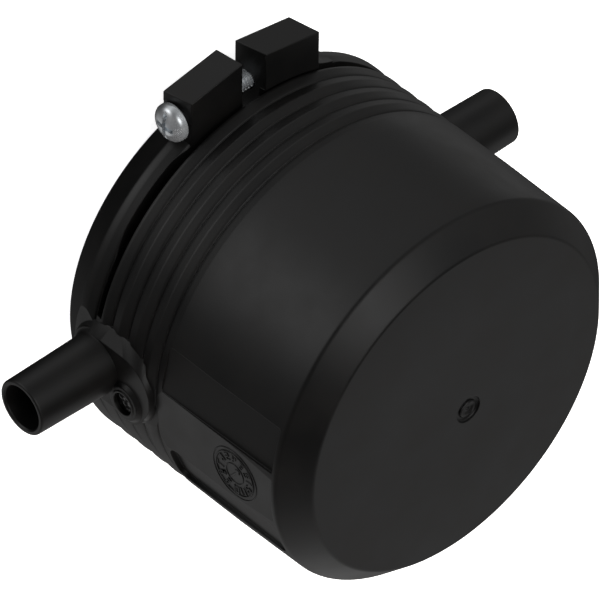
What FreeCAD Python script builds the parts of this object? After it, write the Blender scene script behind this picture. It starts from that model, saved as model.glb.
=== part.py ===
# Electrofusion end cap for a 63 mm pipe: one black moulding with its heating coil, terminals and clamp.
# Millimetres. The cap stands on its mouth, Z runs up its axis, the clamp lugs are on +Y.
import FreeCAD, Part
import math
import os
import Sketcher
from FreeCAD import Placement, Rotation, Vector

doc = FreeCAD.newDocument("EndCap")

# Sizes that can be set by themselves
driving = [
    ("socketRadius", 31.8, "bore that takes the pipe"),
    ("wall", 10.7, "wall of the cylinder"),
    ("bodyLength", 67.5, "mouth to closed face"),
    ("faceStep", 5.4, "closed face inside the cylinder"),
    ("endSlope", 5.2, "height of the sloped end edge"),
    ("mouthStep", 4.3, "mouth rim inside the cylinder"),
    ("mouthSlope", 6.9, "height of the sloped mouth edge"),
    ("endWall", 9.0, "thickness of the closed end"),
    ("leadIn", 0.4, "edge break of the bore mouth"),
    ("edgeSoft", 0.7, "flat that softens the end edges"),
    ("groovePitch", 4.53, "from groove to groove"),
    ("firstGroove", 10.72, "height of the first groove"),
    ("grooveDepth", 0.75, "bottom of a groove below the ridge"),
    ("grooveHalf", 1.25, "half width of a groove"),
    ("slotStart", 11.0, "mouth side of the clamp slot"),
    ("slotWidth", 1.5, "narrow part of the clamp slot"),
    ("slotWiden", 0.8, "more width where the band bends most"),
    ("slotReach", 77.0, "half angle of the slot from the split"),
    ("wideNear", 29.0, "angle from the split where the slot widens"),
    ("wideFar", 52.0, "angle from the split where it narrows again"),
    ("bandProud", 0.15, "slot cutter past the cylinder"),
    ("cutReach", 4.0, "how far a side cut runs past its surface"),
    ("cutOver", 2.0, "how far other cuts run past theirs"),
    ("flatInset", 1.1, "terminal flat below the cylinder"),
    ("flatHalf", 14.0, "half width of the cut that makes that flat"),
    ("flatRise", 4.0, "end of the terminal flat above the indicator"),
    ("flatMargin", 3.4, "terminal flat round the indicator collar"),
    ("facetInset", 0.68, "marking facet below the cylinder"),
    ("facetTurn", 4.0, "turn of the marking facet below the terminal"),
    ("facetGap", 6.3, "marking facet to the closed face"),
    ("facetHalf", 7.6, "half width of the marking facet"),
    ("labelTurn", 16.8, "turn from the facet to each label field"),
    ("labelDepth", 1.2, "depth of a label field at its middle"),
    ("labelHalf", 5.2, "half width of a label field"),
    ("labelGap", 1.4, "last groove to the label fields"),
    ("terminalHeight", 13.1, "terminal axis above the mouth"),
    ("shroudRadius", 6.1, "outside of the shroud"),
    ("shroudWall", 1.35, "wall of the shroud"),
    ("shroudOut", 19.6, "shroud tip from the cylinder"),
    ("floorOut", 4.0, "floor of the shroud from the cylinder"),
    ("rootMargin", 0.8, "boss round the shroud root"),
    ("bossOut", 2.0, "top of the boss from the cylinder"),
    ("indicatorRadius", 2.4, "indicator hole"),
    ("indicatorSink", 2.0, "floor of the indicator hole below the cylinder"),
    ("indicatorCollar", 1.4, "wall round the indicator hole"),
    ("indicatorDrop", 4.0, "indicator below the terminal line"),
    ("indicatorRise", 8.8, "indicator axis above the terminal axis"),
    ("indicatorPlay", 0.08, "indicator pin in its hole"),
    ("indicatorDip", 0.9, "indicator pin below the boss top"),
    ("pinRadius", 2.0, "terminal pin"),
    ("pinOut", 12.5, "terminal pin tip from the cylinder"),
    ("pinHold", 1.24, "terminal pin root beyond the return wire"),
    ("pinChamfer", 0.5, "chamfer of the pin nose"),
    ("seatClearance", 0.03, "between a moulded-in metal piece and its seat"),
    ("wireSide", 0.8, "heating wire across"),
    ("coilStart", 18.0, "first turn above the mouth"),
    ("coilPitch", 6.7, "from turn to turn"),
    ("coilTurns", 3.0, "whole turns, half a turn more joins the far terminal"),
    ("coilSink", 0.1, "wire below the bore surface"),
    ("returnGap", 0.2, "between the turns and the return wire"),
    ("coilMargin", 1.2, "recess beyond the first and last turn"),
    ("lugDepth", 8.5, "root of the lugs inside the cylinder"),
    ("lugFall", 2.7, "fall of each lug top away from the split"),
    ("lugLean", 1.4, "shift of a lug from its mouth face to its other face"),
    ("lugAEdge", -5.4, "first lug, split side, x at its mouth face"),
    ("lugALength", 13.2, "first lug along the screw"),
    ("lugAStart", 4.4, "first lug above the mouth rim"),
    ("lugAWidth", 6.6, "first lug along the cap axis"),
    ("lugARise", 8.6, "first lug above the cylinder at the split"),
    ("lugBEdge", -1.1, "second lug, split side, x at its mouth face"),
    ("lugBLength", 13.9, "second lug along the screw"),
    ("lugBStart", 5.3, "second lug above the mouth rim"),
    ("lugBWidth", 7.1, "second lug along the cap axis"),
    ("lugBRise", 9.2, "second lug above the cylinder at the split"),
    ("screwRise", 0.7, "clamp screw above the cylinder"),
    ("screwAlong", 7.6, "clamp screw above the mouth"),
    ("screwRadius", 2.0, "M4 screw"),
    ("screwShort", 0.95, "screw end inside the outer face of the nut"),
    ("screwSeat", -18.2, "x of the face under the head"),
    ("screwPlay", 0.25, "screw in the holes of the lugs"),
    ("headRadius", 4.0, "pan head"),
    ("headHeight", 2.9, "pan head"),
    ("headRim", 1.1, "straight side of the pan head"),
    ("headCrown", 2.3, "flat top of the pan head"),
    ("headBulge", 0.75, "share of the slope where the head bulges most"),
    ("headPlay", 0.4, "free ring round the head"),
    ("driveWidth", 1.0, "arms of the cross recess and the slot"),
    ("driveDepth", 1.5, "depth of the cross recess"),
    ("slotDepth", 0.8, "depth of the slot in the head"),
    ("nutFlats", 7.0, "M4 nut across flats"),
    ("nutHeight", 3.2, "M4 nut"),
    ("nutSink", 0.5, "nut below the face of its lug"),
    ("nutPlay", 0.15, "nut in its pocket, at the corners"),
    ("threadClearance", 0.05, "nut thread to screw thread"),
    ("gateX", 3.1, "gate mark from the axis"),
    ("gateY", -3.2, "gate mark from the axis"),
    ("gateRadius", 3.0, "shallow dish round the gate"),
    ("gateDepth", 0.6, "depth of that dish"),
    ("gateNub", 1.3, "stub of the gate"),
    ("gateRise", 0.45, "height of the gate stub"),
]

# Sizes worked out from those
worked = [
    ("bodyRadius", "=socketRadius + wall"),
    ("faceRadius", "=bodyRadius - faceStep"),
    ("mouthRadius", "=bodyRadius - mouthStep"),
    ("endShoulder", "=bodyLength - endSlope"),
    ("socketEnd", "=bodyLength - endWall"),
    ("mouthBore", "=socketRadius + leadIn"),
    ("grooveBottom", "=bodyRadius - grooveDepth"),
    ("cutterTop", "=bodyRadius + cutOver"),
    ("grooveLow", "=firstGroove - grooveHalf"),
    ("grooveHigh", "=firstGroove + grooveHalf"),
    ("grooveSpan", "=groovePitch * 4"),
    ("slotEnd", "=slotStart + slotWidth"),
    ("boreInside", "=socketRadius - cutOver"),
    ("slotOuter", "=bodyRadius + bandProud"),
    ("wideStart", "=slotStart - slotWiden"),
    ("wideMiddle", "=(wideNear + wideFar) / 2"),
    ("wideSweep", "=wideFar - wideNear"),
    ("slotSweep", "=2 * slotReach"),
    ("wireInner", "=socketRadius + coilSink"),
    ("wireOuter", "=wireInner + wireSide"),
    ("recessRadius", "=wireOuter + seatClearance"),
    ("coilHeight", "=coilPitch * (coilTurns + 0.5)"),
    ("coilEnd", "=coilStart + coilHeight"),
    ("coilLow", "=coilStart - wireSide / 2"),
    ("coilHigh", "=coilStart + wireSide / 2"),
    ("coilEndLow", "=coilEnd - wireSide / 2"),
    ("coilEndHigh", "=coilEnd + wireSide / 2"),
    ("returnInner", "=wireOuter + returnGap"),
    ("returnOuter", "=returnInner + wireSide"),
    ("returnWall", "=returnOuter + seatClearance"),
    ("tailLow", "=terminalHeight - wireSide / 2"),
    ("tailHigh", "=terminalHeight + wireSide / 2"),
    ("notchLow", "=tailLow - seatClearance"),
    ("notchHigh", "=tailHigh + seatClearance"),
    ("notchWidth", "=wireSide + 2 * seatClearance"),
    ("recessStart", "=coilStart - coilMargin"),
    ("recessEnd", "=coilEnd + coilMargin"),
    ("flatPlane", "=bodyRadius - flatInset"),
    ("facetPlane", "=bodyRadius - facetInset"),
    ("facetEnd", "=bodyLength - facetGap"),
    ("labelPlane", "=bodyRadius - labelDepth"),
    ("labelStart", "=grooveHigh + grooveSpan + labelGap"),
    ("upperTurn", "=facetTurn - labelTurn"),
    ("lowerTurn", "=facetTurn + labelTurn"),
    ("shroudBore", "=shroudRadius - shroudWall"),
    ("shroudTip", "=bodyRadius + shroudOut"),
    ("shroudFloor", "=bodyRadius + floorOut"),
    ("shroudRoot", "=flatPlane - cutOver"),
    ("shroudReach", "=shroudTip + cutOver"),
    ("rootRadius", "=shroudRadius + rootMargin"),
    ("bossTop", "=bodyRadius + bossOut"),
    ("bossHigh", "=bossTop - shroudRoot"),
    ("indicatorHeight", "=terminalHeight + indicatorRise"),
    ("indicatorBoss", "=indicatorRadius + indicatorCollar"),
    ("indicatorFloor", "=bodyRadius - indicatorSink"),
    ("indicatorDepth", "=bossTop - indicatorFloor"),
    ("indicatorFit", "=indicatorRadius - indicatorPlay"),
    ("indicatorLong", "=indicatorDepth - indicatorDip"),
    ("flatArc", "=indicatorBoss + flatMargin"),
    ("flatShoulder", "=indicatorHeight + flatRise"),
    ("pinRoot", "=returnWall + pinHold"),
    ("pinTip", "=bodyRadius + pinOut"),
    ("pinHole", "=pinRadius + seatClearance"),
    ("pinNose", "=pinRadius - pinChamfer"),
    ("pinShoulder", "=pinTip - pinChamfer"),
    ("lugFoot", "=bodyRadius - lugDepth"),
    ("lugATop", "=bodyRadius + lugARise"),
    ("lugALow", "=lugATop - lugFall"),
    ("lugAEnd", "=lugAStart + lugAWidth"),
    ("lugAFar", "=lugAEdge - lugALength"),
    ("lugAEdgeLean", "=lugAEdge + lugLean"),
    ("lugAFarLean", "=lugAFar + lugLean"),
    ("lugBTop", "=bodyRadius + lugBRise"),
    ("lugBLow", "=lugBTop - lugFall"),
    ("lugBEnd", "=lugBStart + lugBWidth"),
    ("lugBFar", "=lugBEdge + lugBLength"),
    ("lugBEdgeLean", "=lugBEdge + lugLean"),
    ("lugBFarLean", "=lugBFar + lugLean"),
    ("splitLow", "=-cutOver"),
    ("splitHigh", "=slotStart + slotWidth / 2"),
    ("splitALow", "=lugAEdge + lugLean * (splitLow - lugAStart) / lugAWidth"),
    ("splitAHigh", "=lugAEdge + lugLean * (splitHigh - lugAStart) / lugAWidth"),
    ("splitBLow", "=lugBEdge + lugLean * (splitLow - lugBStart) / lugBWidth"),
    ("splitBHigh", "=lugBEdge + lugLean * (splitHigh - lugBStart) / lugBWidth"),
    ("splitReach", "=lugBTop + cutReach"),
    ("screwHeight", "=bodyRadius + screwRise"),
    ("screwHole", "=screwRadius + screwPlay"),
    ("nutFace", "=lugBFar + lugLean * (screwAlong - lugBStart) / lugBWidth"),
    ("nutPocket", "=nutHeight + nutSink"),
    ("nutSeat", "=nutFace - nutPocket"),
    ("nutReach", "=nutPocket + cutOver"),
    ("nutRadius", "=nutFlats / 2 / cos(30)"),
    ("nutPocketRadius", "=nutRadius + nutPlay"),
    ("nutHole", "=screwRadius + threadClearance"),
    ("screwEnd", "=nutSeat + nutHeight - screwShort"),
    ("headTop", "=screwSeat - headHeight"),
    ("headSide", "=screwSeat - headRim"),
    ("bulgePlace", "=headTop + (headHeight - headRim) * (1 - headBulge)"),
    ("bulgeRadius", "=headCrown + (headRadius - headCrown) * headBulge"),
    ("headClear", "=headRadius + headPlay"),
    ("driveHalf", "=driveWidth / 2"),
    ("seatReach", "=headTop - cutOver"),
    ("endReach", "=lugBFarLean + cutOver"),
]

sheet = doc.addObject("Spreadsheet::Sheet", "Sizes")
for row, (alias, value, note) in enumerate(driving, start=1):
    sheet.set("A%d" % row, note)
    sheet.set("B%d" % row, "%g" % value)
    sheet.setAlias("B%d" % row, alias)
for row, (alias, formula) in enumerate(worked, start=1):
    sheet.set("D%d" % row, alias)
    sheet.set("E%d" % row, formula)
    sheet.setAlias("E%d" % row, alias)
doc.recompute()


def size(name):
    """Value of a named size; a leading minus turns its sign."""
    sign = -1.0 if name.startswith("-") else 1.0
    value = sheet.get(name.lstrip("-"))
    return sign * float(getattr(value, "Value", value))


def bound(name):
    """Expression that reads a named size from the sheet."""
    return name.replace("-", "-Sizes.") if name.startswith("-") else "Sizes." + name


def newBody(label):
    body = doc.addObject("PartDesign::Body", label)
    body.Label = label
    return body


def newSketch(body, name, role, offset=(None, None, None), turn=None):
    """Sketch on an origin plane, moved by expressions in its own x, y, z and turned about its y."""
    sketch = body.newObject("Sketcher::SketchObject", name)
    plane = [f for f in body.Origin.OriginFeatures if f.Role == role][0]
    sketch.AttachmentSupport = [(plane, "")]
    sketch.MapMode = "FlatFace"
    if turn:
        sketch.AttachmentOffset = Placement(Vector(0, 0, 0), Rotation(Vector(0, 1, 0), 10))
        sketch.setExpression("AttachmentOffset.Rotation.Angle", turn)
    for axis, expression in zip("xyz", offset):
        if expression:
            sketch.setExpression("AttachmentOffset.Base." + axis, expression)
    return sketch


def pinPoint(sketch, geo, pos, x, y, where):
    """Fixes a sketch point at two named sizes; None means on that axis."""
    if x is None:
        sketch.addConstraint(Sketcher.Constraint("PointOnObject", geo, pos, -2))
    else:
        index = sketch.addConstraint(Sketcher.Constraint("DistanceX", -1, 1, geo, pos, where.x))
        sketch.setExpression("Constraints[%d]" % index, bound(x))
    if y is None:
        sketch.addConstraint(Sketcher.Constraint("PointOnObject", geo, pos, -1))
    else:
        index = sketch.addConstraint(Sketcher.Constraint("DistanceY", -1, 1, geo, pos, where.y))
        sketch.setExpression("Constraints[%d]" % index, bound(y))


def addOutline(sketch, corners):
    """Closed outline of straight lines through corners given as pairs of named sizes."""
    spots = [Vector(size(x) if x else 0.0, size(y) if y else 0.0, 0) for x, y in corners]
    count = len(spots)
    first = sketch.GeometryCount
    for i in range(count):
        sketch.addGeometry(Part.LineSegment(spots[i], spots[(i + 1) % count]))
    for i in range(count):
        after = first + (i + 1) % count
        sketch.addConstraint(Sketcher.Constraint("Coincident", first + i, 2, after, 1))
    for i, (x, y) in enumerate(corners):
        pinPoint(sketch, first + i, 1, x, y, spots[i])


def addCircle(sketch, x, y, radius):
    spot = Vector(size(x) if x else 0.0, size(y) if y else 0.0, 0)
    geo = sketch.addGeometry(Part.Circle(spot, Vector(0, 0, 1), size(radius)))
    pinPoint(sketch, geo, 3, x, y, spot)
    index = sketch.addConstraint(Sketcher.Constraint("Radius", geo, size(radius)))
    sketch.setExpression("Constraints[%d]" % index, bound(radius))
    return geo


def addRing(body, kind, name, sketch, angle=None):
    """Revolution or Groove about the cap axis, full or by a named angle across its sketch plane."""
    ring = body.newObject("PartDesign::" + kind, name)
    ring.Profile = sketch
    ring.ReferenceAxis = (sketch, ["V_Axis"])
    ring.Angle = 360
    if angle:
        ring.Midplane = True
        ring.setExpression("Angle", angle)
    return ring


def addPad(body, name, sketch, length, reverse=False):
    pad = body.newObject("PartDesign::Pad", name)
    pad.Profile = sketch
    pad.Reversed = reverse
    pad.setExpression("Length", length)
    return pad


def addPocket(body, name, sketch, length, reverse=False):
    pocket = body.newObject("PartDesign::Pocket", name)
    pocket.Profile = sketch
    pocket.Reversed = reverse
    pocket.setExpression("Length", length)
    return pocket


def addPair(sketch, near, far):
    """Closed outline of two round ends, (x, y, radius) each, joined by their outer tangents."""
    ends = []
    for x, y, radius in (near, far):
        ends.append((Vector(size(x) if x else 0.0, size(y), 0), size(radius)))
    (c1, r1), (c2, r2) = ends
    across = c2 - c1
    lean = math.asin((r1 - r2) / across.Length)
    heading = math.atan2(across.y, across.x)
    left = heading + math.pi / 2 - lean
    right = heading - math.pi / 2 + lean
    arcs = [Part.ArcOfCircle(Part.Circle(c1, Vector(0, 0, 1), r1), left, right + 2 * math.pi),
            Part.ArcOfCircle(Part.Circle(c2, Vector(0, 0, 1), r2), right, left)]
    foot = sketch.addGeometry(arcs[0])
    head = sketch.addGeometry(arcs[1])
    rise = sketch.addGeometry(Part.LineSegment(arcs[0].EndPoint, arcs[1].StartPoint))
    fall = sketch.addGeometry(Part.LineSegment(arcs[1].EndPoint, arcs[0].StartPoint))
    joins = (((foot, 2), (rise, 1)), ((rise, 2), (head, 1)),
             ((head, 2), (fall, 1)), ((fall, 2), (foot, 1)))
    for one, two in joins:
        sketch.addConstraint(Sketcher.Constraint("Tangent", *one, *two))
    for geo, (x, y, radius), (spot, value) in ((foot, near, ends[0]), (head, far, ends[1])):
        pinPoint(sketch, geo, 3, x, y, spot)
        index = sketch.addConstraint(Sketcher.Constraint("Radius", geo, value))
        sketch.setExpression("Constraints[%d]" % index, bound(radius))


def addDomed(sketch, block, dome):
    """Closed outline of a block (half width, foot, shoulder) with an arc (x, y, radius) above it."""
    half, foot, shoulder = [size(name) for name in block]
    centre, radius = Vector(size(dome[0]), size(dome[1]), 0), size(dome[2])
    reach = math.sqrt(radius ** 2 - (shoulder - centre.y) ** 2)
    lean = math.asin((shoulder - centre.y) / radius)
    ends = (centre.x - reach, centre.x + reach)
    spots = [Vector(ends[0], shoulder, 0), Vector(-half, shoulder, 0), Vector(-half, foot, 0),
             Vector(half, foot, 0), Vector(half, shoulder, 0), Vector(ends[1], shoulder, 0)]
    circle = Part.Circle(centre, Vector(0, 0, 1), radius)
    arc = sketch.addGeometry(Part.ArcOfCircle(circle, lean, math.pi - lean))
    lines = [sketch.addGeometry(Part.LineSegment(spots[i], spots[i + 1])) for i in range(5)]
    chain = [(arc, 2)] + [(line, end) for line in lines for end in (1, 2)] + [(arc, 1)]
    for one, two in zip(chain[0::2], chain[1::2]):
        sketch.addConstraint(Sketcher.Constraint("Coincident", *one, *two))
    pinPoint(sketch, lines[1], 1, "-" + block[0], block[2], spots[1])
    pinPoint(sketch, lines[2], 1, "-" + block[0], block[1], spots[2])
    pinPoint(sketch, lines[3], 1, block[0], block[1], spots[3])
    pinPoint(sketch, lines[4], 1, block[0], block[2], spots[4])
    sketch.addConstraint(Sketcher.Constraint("Horizontal", lines[0]))
    sketch.addConstraint(Sketcher.Constraint("Horizontal", lines[4]))
    pinPoint(sketch, arc, 3, dome[0], dome[1], centre)
    index = sketch.addConstraint(Sketcher.Constraint("Radius", arc, radius))
    sketch.setExpression("Constraints[%d]" % index, bound(dome[2]))


def softenEdges(body, name, wanted, width):
    """Chamfer on the full circles of the tip whose (radius, height) are given by named sizes."""
    doc.recompute()
    tip = body.Tip
    picked = []
    for number, edge in enumerate(tip.Shape.Edges, start=1):
        curve = edge.Curve
        if not isinstance(curve, Part.Circle):
            continue
        for circle, height in wanted:
            sameSize = abs(curve.Radius - size(circle)) < 0.01
            if sameSize and abs(curve.Center.z - size(height)) < 0.01:
                picked.append("Edge%d" % number)
    chamfer = body.newObject("PartDesign::Chamfer", name)
    chamfer.Base = (tip, picked)
    chamfer.setExpression("Size", bound(width))
    return chamfer


# The moulding: shell, end slopes and socket
cap = newBody("cap_body")
shellSketch = newSketch(cap, "ShellSketch", "XZ_Plane")
addOutline(shellSketch, [
    ("mouthBore", None), ("mouthRadius", None), ("bodyRadius", "mouthSlope"),
    ("bodyRadius", "endShoulder"), ("faceRadius", "bodyLength"), (None, "bodyLength"),
    (None, "socketEnd"), ("socketRadius", "socketEnd"), ("socketRadius", "leadIn")])
addRing(cap, "Revolution", "Shell", shellSketch)
softenEdges(cap, "EndEdges", [("bodyRadius", "endShoulder"), ("faceRadius", "bodyLength")], "edgeSoft")

# Grip grooves, one cut repeated along the axis
grooveSketch = newSketch(cap, "GrooveSketch", "XZ_Plane")
addOutline(grooveSketch, [
    ("bodyRadius", "grooveLow"), ("grooveBottom", "firstGroove"), ("bodyRadius", "grooveHigh"),
    ("cutterTop", "grooveHigh"), ("cutterTop", "grooveLow")])
gripGroove = addRing(cap, "Groove", "GripGroove", grooveSketch)
gripRow = cap.newObject("PartDesign::LinearPattern", "GripRow")
gripRow.Originals = [gripGroove]
gripRow.Direction = ([f for f in cap.Origin.OriginFeatures if f.Role == "Z_Axis"][0], [""])
gripRow.Occurrences = 5
gripRow.setExpression("Length", "Sizes.grooveSpan")
cap.Tip = gripRow


# Clamp lugs, each leaning a little along the screw
def addLug(letter):
    edge, far = "lug%sEdge" % letter, "lug%sFar" % letter
    low, high = "lug%sLow" % letter, "lug%sTop" % letter
    sections = []
    for end, lean in (("Start", ""), ("End", "Lean")):
        name = "Lug%s%s" % (letter, end)
        section = newSketch(cap, name, "XY_Plane", (None, None, "Sizes.lug%s%s" % (letter, end)))
        addOutline(section, [
            (far + lean, "lugFoot"), (edge + lean, "lugFoot"), (edge + lean, high), (far + lean, low)])
        sections.append(section)
    loft = cap.newObject("PartDesign::AdditiveLoft", "Lug" + letter)
    loft.Profile = sections[0]
    loft.Sections = [sections[1]]
    loft.Ruled = True


addLug("A")
addLug("B")

# Slot that frees the clamp band over the upper half, wider where the band bends
slotSketch = newSketch(cap, "SlotSketch", "XZ_Plane", turn="90 deg")
addOutline(slotSketch, [
    ("boreInside", "slotStart"), ("slotOuter", "slotStart"), ("slotOuter", "slotEnd"),
    ("boreInside", "slotEnd")])
addRing(cap, "Groove", "Slot", slotSketch, "Sizes.slotSweep")
for side, sense in (("Left", "+"), ("Right", "-")):
    turn = "(90 %s Sizes.wideMiddle) * 1 deg" % sense
    wideSketch = newSketch(cap, "Wide%sSketch" % side, "XZ_Plane", turn=turn)
    addOutline(wideSketch, [
        ("boreInside", "wideStart"), ("slotOuter", "wideStart"), ("slotOuter", "slotEnd"),
        ("boreInside", "slotEnd")])
    addRing(cap, "Groove", "Wide" + side, wideSketch, "Sizes.wideSweep")

# Split of the band between the lugs
splitSketch = newSketch(cap, "SplitSketch", "XZ_Plane")
addOutline(splitSketch, [
    ("splitALow", "splitLow"), ("splitBLow", "splitLow"), ("splitBHigh", "splitHigh"),
    ("splitAHigh", "splitHigh")])
addPocket(cap, "Split", splitSketch, "Sizes.splitReach", reverse=True)

# Both terminal sides: flat, facet, label fields, boss and shroud, mirrored in X
terminalLine = (None, "Sizes.terminalHeight", None)
for side, sign in (("Left", -1), ("Right", 1)):
    outward = sign > 0
    out = "" if outward else "-"
    away = "0 deg" if outward else "180 deg"

    def sideSketch(name, reach):
        return newSketch(cap, name + side, "YZ_Plane", (None, None, out + "Sizes." + reach))

    def turnedSketch(name, plane, turn):
        swing = "-Sizes." + turn if outward else "Sizes." + turn
        offset = ("-Sizes.%s * sin(Sizes.%s * 1 deg)" % (plane, turn), None,
                  "%sSizes.%s * cos(Sizes.%s * 1 deg)" % (out, plane, turn))
        return newSketch(cap, name + side, "YZ_Plane", offset, swing + " * 1 deg")

    flatSketch = sideSketch("FlatSketch", "flatPlane")
    addDomed(flatSketch, ("flatHalf", "splitLow", "flatShoulder"),
             ("-indicatorDrop", "indicatorHeight", "flatArc"))
    addPocket(cap, "Flat" + side, flatSketch, "Sizes.cutReach", reverse=outward)

    fields = (("Facet", "facetPlane", "facetTurn", "facetHalf", "indicatorHeight"),
              ("UpperLabel", "labelPlane", "upperTurn", "labelHalf", "labelStart"),
              ("LowerLabel", "labelPlane", "lowerTurn", "labelHalf", "labelStart"))
    for name, plane, turn, half, start in fields:
        fieldSketch = turnedSketch(name + "Sketch", plane, turn)
        addOutline(fieldSketch, [
            ("-" + half, start), (half, start), (half, "facetEnd"), ("-" + half, "facetEnd")])
        addPocket(cap, name + side, fieldSketch, "Sizes.cutReach", reverse=outward)

    bossSketch = sideSketch("BossSketch", "shroudRoot")
    addPair(bossSketch, (None, "terminalHeight", "rootRadius"),
            ("-indicatorDrop", "indicatorHeight", "indicatorBoss"))
    addPad(cap, "Boss" + side, bossSketch, "Sizes.bossHigh", reverse=not outward)

    shroudSketch = newSketch(cap, "ShroudSketch" + side, "XZ_Plane", terminalLine, away)
    addOutline(shroudSketch, [
        ("shroudRoot", None), ("shroudTip", None), ("shroudTip", "shroudRadius"),
        ("shroudRoot", "shroudRadius")])
    shroud = cap.newObject("PartDesign::Revolution", "Shroud" + side)
    shroud.Profile = shroudSketch
    shroud.ReferenceAxis = (shroudSketch, ["H_Axis"])
    shroud.Angle = 360

    boreSketch = newSketch(cap, "BoreSketch" + side, "XZ_Plane", terminalLine, away)
    addOutline(boreSketch, [
        ("pinRoot", None), ("shroudReach", None), ("shroudReach", "shroudBore"),
        ("shroudFloor", "shroudBore"), ("shroudFloor", "pinHole"), ("pinRoot", "pinHole")])
    bore = cap.newObject("PartDesign::Groove", "TerminalBore" + side)
    bore.Profile = boreSketch
    bore.ReferenceAxis = (boreSketch, ["H_Axis"])
    bore.Angle = 360

    eyeSketch = sideSketch("IndicatorSketch", "bossTop")
    addCircle(eyeSketch, "-indicatorDrop", "indicatorHeight", "indicatorRadius")
    addPocket(cap, "IndicatorHole" + side, eyeSketch, "Sizes.indicatorDepth", reverse=not outward)

# Recess of the heating coil and the notches of its leads
recessSketch = newSketch(cap, "RecessSketch", "XZ_Plane")
addOutline(recessSketch, [
    ("boreInside", "recessStart"), ("recessRadius", "recessStart"), ("recessRadius", "recessEnd"),
    ("boreInside", "recessEnd")])
addRing(cap, "Groove", "CoilRecess", recessSketch)
for side, away, wall, top in (("Left", "180 deg", "recessRadius", "coilHigh"),
                              ("Right", "0 deg", "returnWall", "recessEnd")):
    notchSketch = newSketch(cap, "NotchSketch" + side, "XZ_Plane", turn=away)
    addOutline(notchSketch, [
        ("boreInside", "notchLow"), ("pinRoot", "notchLow"), ("pinRoot", "notchHigh"),
        (wall, "notchHigh"), (wall, top), ("boreInside", top)])
    notch = addPocket(cap, "Notch" + side, notchSketch, "Sizes.notchWidth")
    notch.Midplane = True

# Gate mark on the closed face
dishSketch = newSketch(cap, "DishSketch", "XY_Plane", (None, None, "Sizes.bodyLength"))
addCircle(dishSketch, "gateX", "gateY", "gateRadius")
addPocket(cap, "GateDish", dishSketch, "Sizes.gateDepth")
nubSketch = newSketch(cap, "NubSketch", "XY_Plane", (None, None, "Sizes.bodyLength - Sizes.gateDepth"))
addCircle(nubSketch, "gateX", "gateY", "gateNub")
addPad(cap, "GateNub", nubSketch, "Sizes.gateRise")

# Screw hole through both lugs, a face under the head and a pocket for the nut
screwLine = (None, "Sizes.screwAlong", "-Sizes.screwHeight")
holeSketch = newSketch(cap, "ScrewHoleSketch", "XZ_Plane", screwLine)
addOutline(holeSketch, [
    ("seatReach", None), ("endReach", None), ("endReach", "screwHole"), ("screwSeat", "screwHole"),
    ("screwSeat", "headClear"), ("seatReach", "headClear")])
hole = cap.newObject("PartDesign::Groove", "ScrewHole")
hole.Profile = holeSketch
hole.ReferenceAxis = (holeSketch, ["H_Axis"])
hole.Angle = 360


def addHexagon(sketch, radius):
    """Regular hexagon round the sketch origin, corners up and down."""
    spots = []
    for i in range(6):
        turn = math.radians(30 + 60 * i)
        spots.append(Vector(size(radius) * math.cos(turn), size(radius) * math.sin(turn), 0))
    first = sketch.GeometryCount
    for i in range(6):
        sketch.addGeometry(Part.LineSegment(spots[i], spots[(i + 1) % 6]))
    ring = sketch.addGeometry(Part.Circle(Vector(0, 0, 0), Vector(0, 0, 1), size(radius)), True)
    for i in range(6):
        sketch.addConstraint(Sketcher.Constraint("Coincident", first + i, 2, first + (i + 1) % 6, 1))
        sketch.addConstraint(Sketcher.Constraint("PointOnObject", first + i, 1, ring))
    for i in range(5):
        sketch.addConstraint(Sketcher.Constraint("Equal", first + i, first + i + 1))
    sketch.addConstraint(Sketcher.Constraint("Coincident", ring, 3, -1, 1))
    sketch.addConstraint(Sketcher.Constraint("Vertical", first + 5))
    index = sketch.addConstraint(Sketcher.Constraint("Radius", ring, size(radius)))
    sketch.setExpression("Constraints[%d]" % index, bound(radius))


nutLine = ("Sizes.screwHeight", "Sizes.screwAlong", "Sizes.nutSeat")
pocketSketch = newSketch(cap, "NutPocketSketch", "YZ_Plane", nutLine)
addHexagon(pocketSketch, "nutPocketRadius")
addPocket(cap, "NutPocket", pocketSketch, "Sizes.nutReach", reverse=True)

# Heating coil: one wire with its two leads
coil = newBody("heating_coil")
wireSketch = newSketch(coil, "WireSketch", "XZ_Plane", turn="180 deg")
addOutline(wireSketch, [
    ("wireInner", "coilLow"), ("wireOuter", "coilLow"), ("wireOuter", "coilHigh"),
    ("wireInner", "coilHigh")])
turns = coil.newObject("PartDesign::AdditiveHelix", "Turns")
turns.Profile = wireSketch
turns.ReferenceAxis = (wireSketch, ["V_Axis"])
turns.Mode = "pitch-height-angle"
turns.setExpression("Pitch", "Sizes.coilPitch")
turns.setExpression("Height", "Sizes.coilHeight")
leadSketch = newSketch(coil, "LeadSketch", "XZ_Plane", turn="180 deg")
addOutline(leadSketch, [
    ("wireInner", "tailLow"), ("pinRoot", "tailLow"), ("pinRoot", "tailHigh"), ("wireOuter", "tailHigh"),
    ("wireOuter", "coilHigh"), ("wireInner", "coilHigh")])
lead = addPad(coil, "Lead", leadSketch, "Sizes.wireSide")
lead.Midplane = True
returnSketch = newSketch(coil, "ReturnSketch", "XZ_Plane")
addOutline(returnSketch, [
    ("wireInner", "coilEndLow"), ("returnInner", "coilEndLow"), ("returnInner", "tailLow"),
    ("pinRoot", "tailLow"), ("pinRoot", "tailHigh"), ("returnOuter", "tailHigh"),
    ("returnOuter", "coilEndHigh"), ("wireInner", "coilEndHigh")])
back = addPad(coil, "Return", returnSketch, "Sizes.wireSide")
back.Midplane = True

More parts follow.
